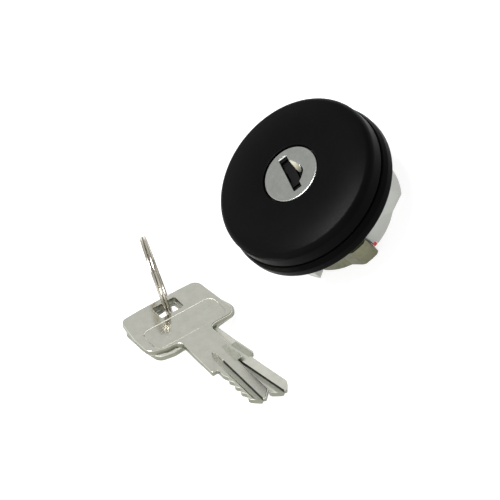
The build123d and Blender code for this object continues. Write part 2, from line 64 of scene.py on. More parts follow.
# ------------------------------------------------------------------ node helpers
class Mat:
    """A small builder for procedural materials."""

    def __init__(self, name):
        self.m = bpy.data.materials.new(name)
        self.m.use_nodes = True
        self.t = self.m.node_tree
        self.t.nodes.clear()
        self.out = self.t.nodes.new("ShaderNodeOutputMaterial")
        self.b = self.t.nodes.new("ShaderNodeBsdfPrincipled")
        self.t.links.new(self.b.outputs[0], self.out.inputs[0])
        self.tc = self.t.nodes.new("ShaderNodeTexCoord")

    def set(self, **kw):
        for k, v in kw.items():
            self.b.inputs[k.replace("_", " ")].default_value = v
        return self

    def n(self, kind, **kw):
        node = self.t.nodes.new(kind)
        for k, v in kw.items():
            if k in node.inputs.keys():
                node.inputs[k].default_value = v
            else:
                setattr(node, k, v)
        return node

    def l(self, a, b):
        self.t.links.new(a, b)

    def coord(self, scale=(1, 1, 1), rot=(0, 0, 0)):
        mp = self.n("ShaderNodeMapping")
        mp.inputs["Scale"].default_value = scale
        mp.inputs["Rotation"].default_value = rot
        self.l(self.tc.outputs["Object"], mp.inputs["Vector"])
        return mp.outputs[0]

    def noise(self, scale, detail=3.0, rough=0.5, vec=None, dist=0.0):
        nz = self.n("ShaderNodeTexNoise")
        nz.inputs["Scale"].default_value = scale
        nz.inputs["Detail"].default_value = detail
        nz.inputs["Roughness"].default_value = rough
        nz.inputs["Distortion"].default_value = dist
        self.l(vec or self.tc.outputs["Object"], nz.inputs["Vector"])
        return nz.outputs["Fac"]

    def ramp(self, fac, stops):
        r = self.n("ShaderNodeValToRGB")
        el = r.color_ramp.elements
        while len(el) < len(stops):
            el.new(0.5)
        for e, (p, c) in zip(el, stops):
            e.position = p
            e.color = c if len(c) == 4 else (*c, 1)
        self.l(fac, r.inputs[0])
        return r.outputs[0]

    def mapr(self, fac, a, b, c, d):
        r = self.n("ShaderNodeMapRange")
        for i, v in enumerate((a, b, c, d)):
            r.inputs[i + 1].default_value = v
        self.l(fac, r.inputs[0])
        return r.outputs[0]

    def bump(self, height, strength, distance, normal=None):
        b = self.n("ShaderNodeBump")
        b.inputs["Strength"].default_value = strength
        b.inputs["Distance"].default_value = distance
        self.l(height, b.inputs["Height"])
        if normal is not None:
            self.l(normal, b.inputs["Normal"])
        return b.outputs[0]

    def mix(self, fac, a, b):
        m = self.n("ShaderNodeMix", data_type="RGBA")
        if hasattr(fac, "is_linked"):
            self.l(fac, m.inputs[0])
        else:
            m.inputs[0].default_value = fac
        for s, v in ((6, a), (7, b)):
            if hasattr(v, "is_linked"):
                self.l(v, m.inputs[s])
            else:
                m.inputs[s].default_value = v if len(v) == 4 else (*v, 1)
        return m.outputs[2]

    def color(self, sock):
        self.l(sock, self.b.inputs["Base Color"])

    def rough(self, sock):
        self.l(sock, self.b.inputs["Roughness"])

    def normal(self, sock):
        self.l(sock, self.b.inputs["Normal"])


def mat_black(name="nylon_black", base=0.0015, grain=1.5):
    m = Mat(name).set(Specular_IOR_Level=0.045, IOR=1.5)
    big = m.noise(55, 3, 0.6)
    col = m.ramp(big, [(0.3, (base * 0.85,) * 3), (0.7, (base * 1.25, base * 1.25, base * 1.3))])
    m.color(col)
    fine = m.noise(5200, 4, 0.65)
    mid = m.noise(900, 3, 0.6)
    m.rough(m.mapr(mid, 0.3, 0.7, 0.31, 0.38))
    # reflection strength falls from the top of the dome downwards: painted shade on the side of the cover and on the
    # skirt
    sep = m.n("ShaderNodeSeparateXYZ")
    m.l(m.tc.outputs["Object"], sep.inputs[0])
    m.l(m.mapr(sep.outputs[2], 0.0100, 0.0135, 0.012, 0.04), m.b.inputs["Specular IOR Level"])
    m.normal(m.bump(mid, 0.10 * grain, 0.00006, m.bump(fine, 0.35 * grain, 0.00003)))
    return m.m


def mat_rubber():
    m = Mat("rubber_black").set(Specular_IOR_Level=0.3)
    m.color(m.ramp(m.noise(400, 4), [(0.3, (0.006,) * 3), (0.7, (0.012,) * 3)]))
    m.rough(m.mapr(m.noise(1500, 3), 0.3, 0.7, 0.6, 0.78))
    m.normal(m.bump(m.noise(3500, 3), 0.3, 0.00004))
    return m.m


def mat_acetal():
    m = Mat("acetal_white").set(Specular_IOR_Level=0.5, Subsurface_Weight=0.25, Subsurface_Scale=0.003)
    m.b.inputs["Subsurface Radius"].default_value = (1.0, 0.9, 0.8)
    m.color(m.ramp(m.noise(70, 4), [(0.25, (0.38, 0.39, 0.36)), (0.75, (0.46, 0.47, 0.435))]))
    m.rough(m.mapr(m.noise(400, 3), 0.3, 0.7, 0.34, 0.46))
    m.normal(m.bump(m.noise(2200, 3), 0.12, 0.00004))
    return m.m


def mat_red():
    m = Mat("acetal_red").set(Specular_IOR_Level=0.5)
    m.color(m.ramp(m.noise(150, 3), [(0.3, (0.50, 0.02, 0.02)), (0.7, (0.62, 0.035, 0.03))]))
    m.rough(m.mapr(m.noise(600, 2), 0.3, 0.7, 0.28, 0.4))
    m.normal(m.bump(m.noise(2500, 2), 0.1, 0.00003))
    return m.m


def mat_zinc_yellow():
    m = Mat("zinc_passivated").set(Metallic=0.85)
    base = m.noise(120, 5, 0.6, dist=0.6)
    hue = m.noise(35, 3, 0.5)
    a = m.ramp(base, [(0.25, (0.085, 0.09, 0.06)), (0.55, (0.15, 0.158, 0.108)), (0.85, (0.21, 0.21, 0.14))])
    b = m.ramp(base, [(0.25, (0.12, 0.12, 0.07)), (0.55, (0.18, 0.175, 0.105)), (0.85, (0.23, 0.235, 0.17))])
    m.color(m.mix(hue, a, b))
    m.rough(m.mapr(m.noise(700, 4), 0.3, 0.7, 0.36, 0.55))
    m.normal(m.bump(m.noise(1600, 5, 0.6), 0.25, 0.00005))
    return m.m


def mat_metal(name, c0, c1, r0=0.25, r1=0.4, stretch=None, bump=0.1, scale=500.0, metallic=1.0):
    m = Mat(name).set(Metallic=metallic)
    vec = m.coord(stretch) if stretch else None
    nz = m.noise(scale, 5, 0.6, vec)
    m.color(m.ramp(nz, [(0.3, c0), (0.7, c1)]))
    m.rough(m.mapr(m.noise(scale * 0.7, 4, 0.6, vec), 0.3, 0.7, r0, r1))
    m.normal(m.bump(m.noise(scale * 2.3, 4, 0.6, vec), bump, 0.00003))
    return m.m


# near-black material for the parts seen down the keyway: mostly painted shade
def mat_dark():
    m = Mat("black_oxide").set(Specular_IOR_Level=0.08)
    m.color(m.ramp(m.noise(300, 3), [(0.3, (0.0022,) * 3), (0.7, (0.0035,) * 3)]))
    m.rough(m.mapr(m.noise(900, 3), 0.3, 0.7, 0.55, 0.7))
    m.normal(m.bump(m.noise(2600, 3), 0.1, 0.00003))
    return m.m


M = {
    "nylon_black": mat_black(),
    "rubber_black": mat_rubber(),
    "acetal_white": mat_acetal(),
    "acetal_red": mat_red(),
    "zinc_passivated": mat_zinc_yellow(),
    "steel_plated": mat_metal("steel_plated", (0.45, 0.46, 0.47), (0.58, 0.58, 0.58), 0.25, 0.4),
    "spring_steel": mat_metal("spring_steel", (0.28, 0.28, 0.29), (0.38, 0.38, 0.38), 0.28, 0.4),
    "brass": mat_metal("brass", (0.55, 0.38, 0.15), (0.66, 0.48, 0.22), 0.25, 0.38),
    "zinc_cast": mat_metal("zinc_cast", (0.30, 0.30, 0.31), (0.40, 0.40, 0.40), 0.42, 0.6, bump=0.3),
    "stainless_satin": mat_metal("stainless_satin", (0.315, 0.325, 0.305), (0.355, 0.365, 0.345), 0.22, 0.28, bump=0.05),
    "nickel_bright": mat_metal("nickel_bright", (0.46, 0.43, 0.36), (0.54, 0.51, 0.43), 0.14, 0.22, bump=0.04),
    "nickel_key": mat_metal("nickel_key", (0.54, 0.54, 0.48), (0.60, 0.60, 0.53), 0.12, 0.19, bump=0.03, scale=260),
    # darker, rougher nickel for the cut walls of the keys; on the wall of the bow panel it is painted shade
    "nickel_edge_and_painted_shade": mat_metal("nickel_edge_and_painted_shade", (0.19, 0.195, 0.155), (0.23, 0.235, 0.185), 0.38, 0.48, bump=0.04),
    # duller, less metallic copy of the key nickel for the lower key, so it does not mirror the black cap: its tone is
    # painted light and shade, not a finish of its own
    "nickel_key_b_painted_light_shade": mat_metal("nickel_key_b_painted_light_shade", (0.34, 0.34, 0.30), (0.39, 0.39, 0.345), 0.34, 0.44, bump=0.03, scale=260, metallic=0.25),
    "nickel_mill": mat_metal("nickel_mill", (0.22, 0.225, 0.19), (0.28, 0.285, 0.24), 0.38, 0.5, bump=0.05, scale=700, metallic=0.4),
    # flat bright colour: painted highlight on the wall of the bow panel
    "nickel_painted_highlight": mat_metal("nickel_painted_highlight", (0.62, 0.61, 0.52), (0.68, 0.67, 0.58), 0.4, 0.5, bump=0.02, metallic=0.0),
    # flat bright colour: painted highlight on the end wall of the keyway slot
    "steel_painted_highlight": mat_metal("steel_painted_highlight", (0.52, 0.52, 0.50), (0.58, 0.58, 0.56), 0.4, 0.5, bump=0.02, metallic=0.0),
    # near-black: painted shadow down the narrow groove of the blade
    "nickel_groove_painted_shadow": mat_metal("nickel_groove_painted_shadow", (0.018, 0.018, 0.015), (0.03, 0.03, 0.025), 0.5, 0.6, bump=0.05, metallic=0.2),
    # darker copy of the ring nickel: painted shade on the flanks of the wire
    "nickel_shade": mat_metal("nickel_shade", (0.07, 0.06, 0.05), (0.12, 0.10, 0.08), 0.25, 0.35, bump=0.05),
    "black_oxide": mat_dark(),
}
slots = {s["node"]: s["material_slot"] for s in frame["record"]["subparts"]}
for name, o in NODES.items():
    mat = M.get(slots.get(name), M["steel_plated"])
    # the parts seen down the keyway get a near-black material: partly the shutter's own dark plastic, partly painted
    # shade in the keyway (the core is brass)
    if name in ("cylinder_core", "dust_shutter", "shutter_pin", "shutter_spring"):
        mat = M["black_oxide"]
    o.data.materials.clear()
    o.data.materials.append(mat)


# ------------------------------------------------------------------ mesh helpers
def make(name, verts, faces, mat, angle=32, body=None, replaces=(), slot=None):
    me = bpy.data.meshes.new(name)
    me.from_pydata([tuple(c * MM for c in v) for v in verts], [], faces)
    me.validate()
    bm = bmesh.new()
    bm.from_mesh(me)
    bmesh.ops.remove_doubles(bm, verts=bm.verts, dist=1e-7)
    bmesh.ops.recalc_face_normals(bm, faces=bm.faces)
    bm.to_mesh(me)
    bm.free()
    me.shade_smooth()
    me.set_sharp_from_angle(angle=math.radians(angle))
    me.materials.append(mat)
    ob = bpy.data.objects.new(name, me)
    bpy.context.scene.collection.objects.link(ob)
    if body:
        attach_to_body(ob, body)
    if replaces:
        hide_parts(*replaces)
    return ob


def rounded(points, n=6):
    """Closed 2-D polygon of (x, y, radius) with its corners rounded."""
    out = []
    k = len(points)
    for i, (x, y, r) in enumerate(points):
        p = Vector((x, y))
        a = Vector(points[i - 1][:2])
        b = Vector(points[(i + 1) % k][:2])
        if r <= 0:
            out.append((x, y))
            continue
        u, v = (a - p), (b - p)
        lu, lv = u.length, v.length
        u.normalize()
        v.normalize()
        ang = u.angle(v)
        if ang > math.pi - 0.01:
            out.append((x, y))
            continue
        d = min(r / math.tan(ang / 2), lu * 0.49, lv * 0.49)
        rr = d * math.tan(ang / 2)
        c = p + (u + v).normalized() * (rr / math.sin(ang / 2))
        s, e = p + u * d, p + v * d
        a0 = math.atan2(s.y - c.y, s.x - c.x)
        a1 = math.atan2(e.y - c.y, e.x - c.x)
        da = (a1 - a0 + math.pi) % (2 * math.pi) - math.pi
        for j in range(n + 1):
            t = a0 + da * j / n
            out.append((c.x + rr * math.cos(t), c.y + rr * math.sin(t)))
    return out


def lathe(name, profile, mat, seg=256, angle=32, wave=None, **kw):
    """Closed profile of (r, z) turned about Z."""
    verts, faces = [], []
    k = len(profile)
    for s in range(seg):
        a = 2 * math.pi * s / seg
        ca, sa = math.cos(a), math.sin(a)
        for i, (r, z) in enumerate(profile):
            dr, dz = wave(i, r, z, a) if wave else (0, 0)
            verts.append(((r + dr) * ca, (r + dr) * sa, z + dz))
    for s in range(seg):
        t = (s + 1) % seg
        for i in range(k):
            j = (i + 1) % k
            faces.append((s * k + i, s * k + j, t * k + j, t * k + i))
    return make(name, verts, faces, mat, angle, **kw)


# ------------------------------------------------------------------ cover and skirt
dome = []
for i in range(17):
    r = 12.4 + (32.9 - 12.4) * i / 17
    dome.append((r, dome_z(r), 0))
prof = [(R_HOLE, 11.8, 0), (R_HOLE, dome_z(R_HOLE), 0.28)] + dome[0:] + \
    [(R_COVER, dome_z(R_COVER), 3.4), (R_COVER, 4.72, 0.3), (30.5, 4.72, 0), (30.5, 9.2, 0), (28.3, 11.4, 0), (20.0, 11.8, 0)]
# the rim rounding needs a long last dome chord
prof = [p for p in prof if not (28.2 < p[0] < 32.8 and p[1] > 11.5 and p[2] == 0)]
lathe("cover_shell", rounded(prof, 12), M["nylon_black"], 320, body="cap", replaces=("cover",), slot="nylon_black")

sk = [(26.3, 4.68, 0.1), (31.9, 4.68, 0.1), (31.9, 4.0, 0.12), (33.25, 4.0, 0.35), (34.0, 1.7, 1.2),
      (34.0, -2.0, 0.75), (31.4, -2.0, 0.25), (31.0, 1.0, 0), (31.0, 3.4, 0.3), (26.3, 3.4, 0.1)]
lathe("skirt_moulding", rounded(sk, 7), M["nylon_black"], 320, body="cap", replaces=("skirt_ring",), slot="nylon_black")

# ------------------------------------------------------------------ relief pieces
def inside(P, loop):
    """Even-odd test of points (n, 2) against a closed loop (m, 2)."""
    x, y = P[:, 0:1], P[:, 1:2]
    a, b = loop, np.roll(loop, -1, axis=0)
    c = ((a[None, :, 1] > y) != (b[None, :, 1] > y))
    with np.errstate(divide="ignore", invalid="ignore"):
        xi = (b[None, :, 0] - a[None, :, 0]) * (y - a[None, :, 1]) / (b[None, :, 1] - a[None, :, 1]) + a[None, :, 0]
    return (c & (x < xi)).sum(axis=1) % 2 == 1


def dist(P, loop, closed=True):
    """Distance of points (n, 2) to a polyline."""
    a = loop if closed else loop[:-1]
    b = np.roll(loop, -1, axis=0) if closed else loop[1:]
    d = b - a
    out = np.full(len(P), 1e9)
    L = (d * d).sum(axis=1) + 1e-12
    for i in range(0, len(P), 2000):
        q = P[i:i + 2000]
        t = (((q[:, None, :] - a[None]) * d[None]).sum(axis=2) / L[None]).clip(0, 1)
        r = q[:, None, :] - (a[None] + t[..., None] * d[None])
        out[i:i + 2000] = np.sqrt((r * r).sum(axis=2)).min(axis=1)
    return out


def resample(loop, step):
    loop = np.asarray(loop, float)
    out = []
    for i in range(len(loop)):
        a, b = loop[i], loop[(i + 1) % len(loop)]
        n = max(1, int(math.ceil(np.hypot(*(b - a)) / step)))
        for j in range(n):
            out.append(a + (b - a) * j / n)
    return np.array(out)


def offset(loop, d):
    """Points of a counter-clockwise loop moved inwards by d along the corner normals."""
    a = np.roll(loop, 1, axis=0)
    b = np.roll(loop, -1, axis=0)
    t1 = (loop - a) / (np.hypot(*(loop - a).T)[:, None] + 1e-12)
    t2 = (b - loop) / (np.hypot(*(b - loop).T)[:, None] + 1e-12)
    n = np.stack([-(t1 + t2)[:, 1], (t1 + t2)[:, 0]], axis=1)
    ln = np.hypot(*n.T)[:, None]
    n /= (ln + 1e-9)
    k = np.clip(ln / 2, 0.35, 1)
    return loop + n * d / k


def ccw(loop):
    x, y = loop[:, 0], loop[:, 1]
    s = (x * np.roll(y, -1) - np.roll(x, -1) * y).sum()
    return loop if s > 0 else loop[::-1]


def triangulate(outer, holes, pts, margin):
    keep = inside(pts, outer) & (dist(pts, outer) > margin)
    for h in holes:
        keep &= ~inside(pts, h) & (dist(pts, h) > margin)
    pts = pts[keep]
    # thin out points that are nearly the same
    key = np.round(pts / 0.035).astype(int)
    _, idx = np.unique(key, axis=0, return_index=True)
    pts = pts[np.sort(idx)]
    verts, edges = [], []
    for lp in [outer] + holes:
        b = len(verts)
        verts += [tuple(p) for p in lp]
        edges += [(b + i, b + (i + 1) % len(lp)) for i in range(len(lp))]
    nb = len(verts)
    verts += [tuple(p) for p in pts]
    v, _, f, ov, _, _ = delaunay_2d_cdt([Vector(p) for p in verts], edges, [], 0, 1e-7)
    order = {}
    for i, o in enumerate(ov):
        if o and o[0] < nb:
            order[i] = o[0]
    v = np.array([(p.x, p.y) for p in v])
    f = np.array([list(t) for t in f])
    c = v[f].mean(axis=1)
    ok = inside(c, outer)
    for h in holes:
        ok &= ~inside(c, h)
    return v, f[ok], order


def relief(name, outer, holes, ptsT, ptsB, zT, zB, place, mat, side_mat=None, angle=40, margin=0.05, paint=None, extra=(), **kw):
    """Flat piece with a modelled relief on both faces and closed walls between them."""
    outer = ccw(outer)
    vt, ft, ot = triangulate(outer, holes, ptsT, margin)
    vb, fb, ob_ = triangulate(outer, holes, ptsB, margin)
    zt, zb = zT(vt), zB(vb)
    inv_t = {o: i for i, o in ot.items()}
    inv_b = {o: i for i, o in ob_.items()}
    nT = len(vt)
    V = [place(x, y, z) for (x, y), z in zip(vt, zt)] + [place(x, y, z) for (x, y), z in zip(vb, zb)]
    F = []
    for a, b, c in ft:
        s = (vt[b][0] - vt[a][0]) * (vt[c][1] - vt[a][1]) - (vt[b][1] - vt[a][1]) * (vt[c][0] - vt[a][0])
        F.append((a, b, c) if s > 0 else (a, c, b))
    for a, b, c in fb:
        s = (vb[b][0] - vb[a][0]) * (vb[c][1] - vb[a][1]) - (vb[b][1] - vb[a][1]) * (vb[c][0] - vb[a][0])
        F.append((a + nT, c + nT, b + nT) if s > 0 else (a + nT, b + nT, c + nT))
    ncap = len(F)
    b0 = 0
    for lp in [outer] + holes:
        n = len(lp)
        for i in range(n):
            p, q = b0 + i, b0 + (i + 1) % n
            F.append((inv_t[p], inv_t[q], inv_b[q] + nT, inv_b[p] + nT))
        b0 += n
    me = bpy.data.meshes.new(name)
    me.from_pydata([tuple(c * MM for c in v) for v in V], [], [tuple(int(i) for i in t) for t in F])
    me.materials.append(mat)
    if side_mat:
        me.materials.append(side_mat)
        mi = np.zeros(len(F), dtype=np.int32)
        mi[ncap:] = 1
        if paint:
            ct = np.array([[sum(vt[i][0] for i in f) / 3, sum(vt[i][1] for i in f) / 3] for f in ft])
            cb = np.array([[sum(vb[i][0] for i in f) / 3, sum(vb[i][1] for i in f) / 3] for f in fb])
            mi[:len(ft)] = paint(ct, False)
            mi[len(ft):ncap] = paint(cb, True)
            for em in extra:
                me.materials.append(em)
        me.polygons.foreach_set("material_index", mi)
    bm = bmesh.new()
    bm.from_mesh(me)
    bmesh.ops.recalc_face_normals(bm, faces=bm.faces)
    bad = [e for e in bm.edges if not e.is_manifold]
    print(name, "faces", len(bm.faces), "open edges", len(bad))
    bm.to_mesh(me)
    bm.free()
    me.shade_smooth()
    me.set_sharp_from_angle(angle=math.radians(angle))
    ob = bpy.data.objects.new(name, me)
    bpy.context.scene.collection.objects.link(ob)
    if kw.get("body"):
        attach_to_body(ob, kw["body"])
    if kw.get("replaces"):
        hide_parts(*kw["replaces"])
    return ob


def lattice(x0, x1, y0, y1, sx, sy):
    X, Y = np.meshgrid(np.arange(x0, x1 + 1e-9, sx), np.arange(y0, y1 + 1e-9, sy))
    return np.stack([X.ravel(), Y.ravel()], axis=1)


def ramp01(v):
    v = np.clip(v, 0, 1)
    return v * v * (3 - 2 * v)


def edge_round(d, r):
    d = np.clip(d, 0, r)
    return r - np.sqrt(np.clip(r * r - (r - d) ** 2, 0, None))


# ------------------------------------------------------------------ lock face
slot_side = [(-8.4, 1.64), (-6.3, 1.66), (-5.2, 1.72), (-4.2, 1.86), (-3.2, 2.03), (-2.0, 2.2), (-0.8, 2.42), (0.3, 2.66), (1.1, 2.98)]
tip = [(1.45, 3.3), (1.5, 3.7), (1.25, 4.12), (0.75, 4.42), (0.1, 4.6), (-0.74, 4.71)]
gap_out = [(0.3, 4.93), (1.1, 5.02), (1.78, 4.98), (2.45, 4.7), (3.04, 4.25), (3.68, 3.7), (4.37, 2.97), (4.95, 2.3), (5.3, 1.72)]
hole = [(-8.4, -1.85), (7.85, -1.85), (7.85, 1.62), (5.5, 1.64)] + gap_out[::-1] + tip[::-1] + slot_side[::-1]
hole = resample(hole, 0.3)
disc = np.array([(R_LOCK * math.cos(t), R_LOCK * math.sin(t)) for t in np.linspace(0, 2 * math.pi, 361)[:-1]])
attach = np.array([(-7.3, 1.65), (-6.6, 2.5), (-5.6, 3.3), (-4.4, 3.95), (-3.0, 4.45), (-1.8, 4.68), (-0.74, 4.72)])
tongue = np.array(slot_side + tip + [tuple(p) for p in attach[::-1][1:]])


def lock_dish(P):
    d = dist(P, attach, closed=False)
    near = inside(P, tongue) | (dist(P, np.array(slot_side + tip), closed=False) < 0.02)
    w = 0.30 + 0.70 * ramp01((P[:, 0] + 6.5) / 6.5)
    z = 1.05 * ramp01(d / 2.9) * w
    return np.where(near, z, 0.0)


def lock_top(P):
    r = np.hypot(P[:, 0], P[:, 1])
    z = Z_FACE - lock_dish(P)
    z -= edge_round(R_LOCK - r, 0.5)
    dh = dist(P, ccw(hole))
    z -= edge_round(dh, 0.22)
    return z


def lock_bot(P):
    r = np.hypot(P[:, 0], P[:, 1])
    skirt = ramp01((r - (R_LOCK - 0.62)) / 0.06)
    return Z_FACE - 0.55 - lock_dish(P) - skirt * (1.9 - 0.55)


rings_t = [disc * (R_LOCK - d) / R_LOCK for d in (0.08, 0.2, 0.34, 0.5, 0.62)]
rings_b = [disc * (R_LOCK - d) / R_LOCK for d in (0.3, 0.54, 0.63, 0.75)]
hs = ccw(hole)
near_h = [offset(hs, -d) for d in (0.07, 0.15, 0.23, 0.33)]
grid = np.concatenate([lattice(-8, 6.5, 1.7, 5.4, 0.22, 0.22), lattice(-10.5, 10.5, -10.5, 10.5, 1.2, 1.2)])
att = np.concatenate([resample(attach, 0.25)[:-14] + np.array([0, o]) for o in (0.0, 0.15)])
def mat_tongue():
    """Thumb dish: painted light at the shallow end, painted shade where it runs under the face."""
    m = Mat("stainless_dish_painted_light_shade").set(Metallic=0.2, Specular_IOR_Level=0.3)
    sep = m.n("ShaderNodeSeparateXYZ")
    m.l(m.tc.outputs["Object"], sep.inputs[0])
    along = m.mapr(sep.outputs[0], -0.0055, 0.0014, 0.0, 1.0)
    m.color(m.ramp(along, [(0.0, (0.30, 0.30, 0.26)), (0.3, (0.34, 0.325, 0.255)), (0.65, (0.21, 0.20, 0.15)), (1.0, (0.02, 0.02, 0.017))]))
    m.rough(m.mapr(m.noise(900, 3), 0.3, 0.7, 0.42, 0.55))
    return m.m


def lock_paint(C, flip):
    # the deep part of the thumb dish takes the painted light and shade ramp
    on = inside(C, tongue) & (lock_dish(C) > 0.12)
    return np.where(on, 2, 0).astype(np.int32)


plate = relief("lock_face_plate", disc, [hole], np.concatenate(rings_t + near_h + [grid]), np.concatenate(rings_b + [near_h[2], grid]),
               lock_top, lock_bot, lambda x, y, z: (x, y, z), M["stainless_satin"], M["stainless_satin"], angle=50,
               paint=lock_paint, extra=(mat_tongue(), M["steel_painted_highlight"]), body="lock", replaces=("lock_face",), slot="stainless_satin")
# painted highlight on the end wall of the keyway slot
for p in plate.data.polygons:
    if p.center.x < -8.3 * MM and abs(p.center.y) < 1.9 * MM and p.normal.x > 0.5 and p.center.z > (Z_FACE - 0.6) * MM and p.area > 0:
        p.material_index = 3

# ------------------------------------------------------------------ keys
FLOOR_Z = -22.6
TILT, ROLL, KEY_DIR, FAN = math.radians(3.45), math.radians(-31.0), math.radians(19.9), math.radians(4.3)
PIVOT, PIVOT_Z = (-2.8, -74.9), -11.7502
KEY_LEN, PIV_S, KEY_T = 70.0, 5.94, 2.4
KK = KEY_LEN / 66.0
CUTS = ((66.0, -0.8), (64.6, -2.3), (63.2, -3.55), (62.2, -3.75), (61.2, -3.2), (60.2, -3.0), (59.4, -3.35), (58.6, -3.9),
        (57.8, -3.9), (56.8, -3.1), (56.0, -3.1), (55.0, -3.85), (54.2, -3.95), (53.2, -3.3), (52.4, -3.2), (51.4, -3.75),
        (50.6, -4.0), (49.6, -3.45), (48.8, -3.4), (47.8, -3.9), (47.0, -4.1), (44.6, -4.1), (43.8, -4.3))


def key_outline():
    p = [(0.3, 15.6, 3.4), (0.0, 8.0, 0), (0.0, -9.0, 0), (0.45, -16.8, 2.6), (12.0, -18.3, 0), (20.5, -18.0, 3.8), (22.6, -12.0, 0), (23.0, -6.3, 2.6), (43.6, -6.3, 0.7)]
    p += [(s, t, 0.35) for s, t in CUTS[::-1]]
    p += [(66.0, 1.2, 0.5), (63.0, 4.1, 1.2), (43.6, 4.1, 0.25), (43.6, 6.3, 0.7), (23.0, 6.3, 2.6), (23.0, 17.8, 3.6)]
    return np.array(rounded([(x * KK, y * KK, r) for x, y, r in p], 7))


k_out = ccw(resample(key_outline(), 0.36))
WX, WY = 6.6 / 2, 10.0 / 2
k_win = resample(rounded([(5.94 - WX, -WY, 0.8), (5.94 + WX, -WY, 0.8), (5.94 + WX, WY, 0.8), (5.94 - WX, WY, 0.8)], 5), 0.4)
k_win = ccw(k_win)
PX, PY, PR, PS = 11.9 / 2, 31.8 / 2, 3.2, 16.4 * KK
k_pan = ccw(resample(rounded([(PS - PX, -PY, PR), (PS + PX, -PY, PR), (PS + PX, PY, PR), (PS - PX, PY, PR)], 10), 0.4))


def key_depth(P, flip):
    """Depth of the relief below the face of the key; flip mirrors it for the back."""
    s = P[:, 0]
    t = -P[:, 1] if flip else P[:, 1]
    z = edge_round(dist(P, k_out), 0.32)
    z = np.maximum(z, edge_round(dist(P, k_win), 0.22))
    # panel across the bow
    dp = dist(P, k_pan)
    sg = np.where(inside(P, k_pan), dp, -dp)
    z = z + 0.12 * np.clip(sg / 0.26, 0, 1)
    # bevelled middle groove with a flute beside it
    g0 = 42.9
    on = ramp01((s - g0) / 1.2)
    groove = np.clip((0.12 - np.abs(t + 0.05) + 0.12) / 0.06, 0, 1) * on
    fl = np.clip((s - (37.3 + 1.9 * np.clip(-t - 0.9, 0, 9) ** 0.9)) / 4.5, 0, 1)
    fl = fl * (2 - fl)
    w = np.clip((-0.16 - t) / 0.05, 0, 1) * np.clip((t + 2.35) / 2.1, 0, 1)
    land = np.clip((-0.16 - t) / 0.05, 0, 1)
    flute = fl * (0.62 * w ** 0.75 + 0.10 * land)
    z = np.maximum(z, flute)
    z = np.maximum(z, 1.0 * groove)
    # relief milled in the neck beside the blade
    b0 = np.clip((s - 37.0) / 0.12, 0, 1) * np.clip((t - 3.35) / 0.12, 0, 1) * np.clip((5.95 - t) / 0.12, 0, 1)
    run = 0.16 + 0.30 * np.exp(-np.clip(s - 37.0, 0, 99) / 3.0) * 0 + 0.26 * ramp01((s - 37.0) / 9.0)
    b1 = np.where(s < 47.2, 1, 0)
    z = np.maximum(z, b0 * b1 * run)
    return z


def key_points(flip):
    sgn = -1 if flip else 1
    rows = [offset(k_out, d) for d in (0.09, 0.2, 0.32, 0.46)]
    rows += [offset(k_win, -d) for d in (0.08, 0.16, 0.24, 0.36)]
    rows += [offset(k_pan, d) for d in (-0.14, 0.0, 0.13, 0.26, 0.4)]
    rows.append(lattice(1.0, 24.5, -18, 18, 1.6, 1.6))
    rows.append(lattice(24.5, 47, -6.6, 6.6, 0.8, 0.55))
    sb = np.arange(35.0, 69.9, 0.35)
    for t in (0.3, 0.19, 0.07, -0.05, -0.17, -0.22, -0.29, -0.5, -0.8, -1.2, -1.6, -2.0, -2.25, -2.4, -2.8, -3.4):
        rows.append(np.stack([sb, np.full_like(sb, t * sgn)], axis=1))
    sn = np.arange(36.6, 46.9, 0.3)
    for t in (3.2, 3.35, 3.47, 3.6, 4.2, 4.8, 5.4, 5.83, 5.95, 6.1):
        rows.append(np.stack([sn, np.full_like(sn, t * sgn)], axis=1))
    tt = np.arange(3.35, 5.96, 0.25)
    for s in (36.85, 37.0, 37.12, 37.25):
        rows.append(np.stack([np.full_like(tt, s), tt * sgn], axis=1))
    ts = np.arange(-5.2, 0.3, 0.3)
    for s in np.arange(37.4, 46, 0.5):
        rows.append(np.stack([np.full_like(ts, s), ts * sgn], axis=1))
    return np.concatenate(rows)


def key_place(which):
    a = FAN if which == 2 else -FAN
    lift = KEY_T + 0.1 if which == 1 else 0.0
    ca, sa, ct, st, cd, sd = math.cos(a), math.sin(a), math.cos(TILT), math.sin(TILT), math.cos(KEY_DIR), math.sin(KEY_DIR)
    cr, sr = math.cos(ROLL), math.sin(ROLL)

    def f(x, y, z):
        x, z = x - PIV_S, z + lift
        x, y = x * ca - y * sa, x * sa + y * ca
        y, z = y * cr - z * sr, y * sr + z * cr
        x, z = x * ct + z * st, -x * st + z * ct
        return (PIVOT[0] + x * cd - y * sd, PIVOT[1] + x * sd + y * cd, PIVOT_Z + z)
    return f


def key_paint(C, flip):
    """2 for the milled flutes, 3 for painted shadow in the narrow groove, 4 for a painted highlight and 1 for painted
    shade on the wall of the bow panel.
    """
    s = C[:, 0]
    t = -C[:, 1] if flip else C[:, 1]
    out = np.zeros(len(C), dtype=np.int32)
    start = 37.5 + 1.9 * np.clip(-t - 0.9, 0, 9) ** 0.9
    out[(t < -0.2) & (t > -2.3) & (s > start)] = 2
    out[(t > 3.42) & (t < 5.9) & (s > 37.06) & (s < 46.9)] = 2
    # painted shadow in the narrow groove
    out[(np.abs(t + 0.05) < 0.2) & (s > 43.6)] = 3
    # wall of the bow panel: index 4 is a painted highlight on part of it, index 1 painted shade on the rest
    wall = inside(C, k_pan) & (dist(C, k_pan) < 0.12)
    bright = (s < PS - 1.0) | ((s > PS + 3.0) & (t < 3.0))
    out[wall & bright & (t > -15.0)] = 4
    out[wall & ~bright] = 1
    return out


